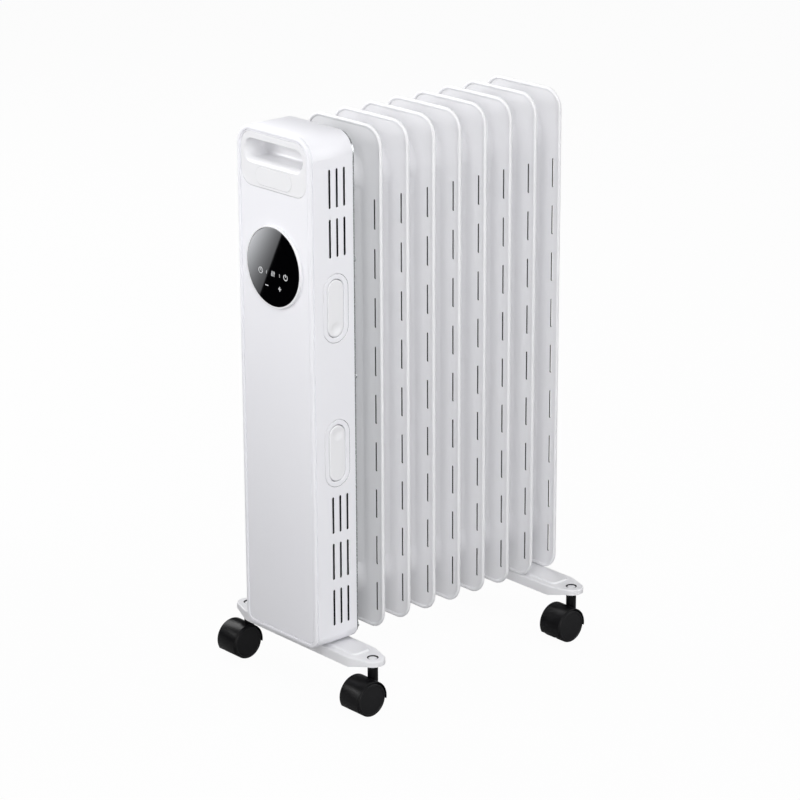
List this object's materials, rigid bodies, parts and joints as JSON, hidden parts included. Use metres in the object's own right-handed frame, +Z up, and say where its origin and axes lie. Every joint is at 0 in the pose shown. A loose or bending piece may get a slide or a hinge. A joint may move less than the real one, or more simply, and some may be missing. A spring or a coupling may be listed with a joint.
{
  "type": "oil filled radiator heater",
  "caption": "Upright oil filled radiator: a row of slotted fins on two headers, a slim control housing with a round display, and two foot bars on swivel castors.",
  "frame": {"origin": "on the floor, under the middle of the whole object's box", "axes": "+X towards the side with the cord hooks, -Y the front with the display, +Z up"},
  "size_m": [0.2482, 0.3888, 0.646],
  "materials": {
    "fin_paint": "semi-gloss white powder coat",
    "shell_plastic": "fine satin white moulded plastic",
    "panel_plastic": "smooth white moulded plastic",
    "display_glass": "polished black glass panel",
    "zinc_steel": "bright zinc plate",
    "element_steel": "drawn steel tube",
    "seal_rubber": "matt black rubber",
    "circuit_board": "green solder mask",
    "black_plastic": "fine satin black moulded plastic",
    "wheel_plastic": "satin black moulded plastic",
    "bar_paint": "semi-gloss white powder coat"
  },
  "bodies": {
    "heater": {"fin_1": "fin_paint", "fin_2": "fin_paint", "fin_3": "fin_paint", "fin_4": "fin_paint", "fin_5": "fin_paint", "fin_6": "fin_paint", "fin_7": "fin_paint", "fin_8": "fin_paint", "header_end_caps": "fin_paint", "filler_plug": "zinc_steel", "heating_element": "element_steel", "element_gasket": "seal_rubber", "header_spacers": "zinc_steel", "heat_shield": "zinc_steel", "rear_housing": "shell_plastic", "front_cover": "shell_plastic", "grip_panel": "panel_plastic", "name_plaque": "panel_plastic", "display_bezel": "shell_plastic", "display_glass": "display_glass", "touch_board": "circuit_board", "hook_bezel_upper": "shell_plastic", "hook_bezel_lower": "shell_plastic", "hook_pins": "zinc_steel", "power_board": "circuit_board", "board_carrier": "panel_plastic", "tilt_switch": "black_plastic", "thermal_cutout": "zinc_steel", "temperature_sensor": "black_plastic", "terminal_block": "panel_plastic", "cord_gland": "seal_rubber", "base_bracket": "zinc_steel", "housing_screws": "zinc_steel", "front_foot_bar": "bar_paint", "rear_foot_bar": "bar_paint", "front_bar_screws": "zinc_steel", "rear_u_bolt": "zinc_steel", "rear_wing_nuts": "zinc_steel", "stem_front_left": "zinc_steel", "stem_front_right": "zinc_steel", "stem_rear_left": "zinc_steel", "stem_rear_right": "zinc_steel"},
    "upper_hook": {"cord_hook_upper": "panel_plastic"},
    "lower_hook": {"cord_hook_lower": "panel_plastic"},
    "front_left_castor": {"hood_front_left": "black_plastic", "axle_front_left": "zinc_steel"},
    "front_left_outer_wheel": {"wheel_front_left_outer": "wheel_plastic"},
    "front_left_inner_wheel": {"wheel_front_left_inner": "wheel_plastic"},
    "front_right_castor": {"hood_front_right": "black_plastic", "axle_front_right": "zinc_steel"},
    "front_right_outer_wheel": {"wheel_front_right_outer": "wheel_plastic"},
    "front_right_inner_wheel": {"wheel_front_right_inner": "wheel_plastic"},
    "rear_left_castor": {"hood_rear_left": "black_plastic", "axle_rear_left": "zinc_steel"},
    "rear_left_outer_wheel": {"wheel_rear_left_outer": "wheel_plastic"},
    "rear_left_inner_wheel": {"wheel_rear_left_inner": "wheel_plastic"},
    "rear_right_castor": {"hood_rear_right": "black_plastic", "axle_rear_right": "zinc_steel"},
    "rear_right_outer_wheel": {"wheel_rear_right_outer": "wheel_plastic"},
    "rear_right_inner_wheel": {"wheel_rear_right_inner": "wheel_plastic"}
  },
  "joints": [
    {"name": "upper_hook_pivot", "type": "hinge", "parent": "heater", "child": "upper_hook", "pos_m": [0.058, -0.1582, 0.44], "axis": [0, 1, 0], "range_deg": [0, 35]},
    {"name": "lower_hook_pivot", "type": "hinge", "parent": "heater", "child": "lower_hook", "pos_m": [0.058, -0.1582, 0.307], "axis": [0, -1, 0], "range_deg": [0, 35]},
    {"name": "front_left_swivel", "type": "hinge", "parent": "heater", "child": "front_left_castor", "pos_m": [-0.1085, -0.1507, 0.05], "axis": [0, 0, 1], "continuous": true},
    {"name": "front_left_outer_roll", "type": "hinge", "parent": "front_left_castor", "child": "front_left_outer_wheel", "pos_m": [-0.1175, -0.1652, 0.0195], "axis": [1, 0, 0], "continuous": true},
    {"name": "front_left_inner_roll", "type": "hinge", "parent": "front_left_castor", "child": "front_left_inner_wheel", "pos_m": [-0.0995, -0.1652, 0.0195], "axis": [1, 0, 0], "continuous": true},
    {"name": "front_right_swivel", "type": "hinge", "parent": "heater", "child": "front_right_castor", "pos_m": [0.1085, -0.1507, 0.05], "axis": [0, 0, 1], "continuous": true},
    {"name": "front_right_outer_roll", "type": "hinge", "parent": "front_right_castor", "child": "front_right_outer_wheel", "pos_m": [0.1175, -0.1652, 0.0195], "axis": [1, 0, 0], "continuous": true},
    {"name": "front_right_inner_roll", "type": "hinge", "parent": "front_right_castor", "child": "front_right_inner_wheel", "pos_m": [0.0995, -0.1652, 0.0195], "axis": [1, 0, 0], "continuous": true},
    {"name": "rear_left_swivel", "type": "hinge", "parent": "heater", "child": "rear_left_castor", "pos_m": [-0.1085, 0.15855, 0.05], "axis": [0, 0, 1], "continuous": true},
    {"name": "rear_left_outer_roll", "type": "hinge", "parent": "rear_left_castor", "child": "rear_left_outer_wheel", "pos_m": [-0.1175, 0.14405, 0.0195], "axis": [1, 0, 0], "continuous": true},
    {"name": "rear_left_inner_roll", "type": "hinge", "parent": "rear_left_castor", "child": "rear_left_inner_wheel", "pos_m": [-0.0995, 0.14405, 0.0195], "axis": [1, 0, 0], "continuous": true},
    {"name": "rear_right_swivel", "type": "hinge", "parent": "heater", "child": "rear_right_castor", "pos_m": [0.1085, 0.15855, 0.05], "axis": [0, 0, 1], "continuous": true},
    {"name": "rear_right_outer_roll", "type": "hinge", "parent": "rear_right_castor", "child": "rear_right_outer_wheel", "pos_m": [0.1175, 0.14405, 0.0195], "axis": [1, 0, 0], "continuous": true},
    {"name": "rear_right_inner_roll", "type": "hinge", "parent": "rear_right_castor", "child": "rear_right_inner_wheel", "pos_m": [0.0995, 0.14405, 0.0195], "axis": [1, 0, 0], "continuous": true}
  ]
}
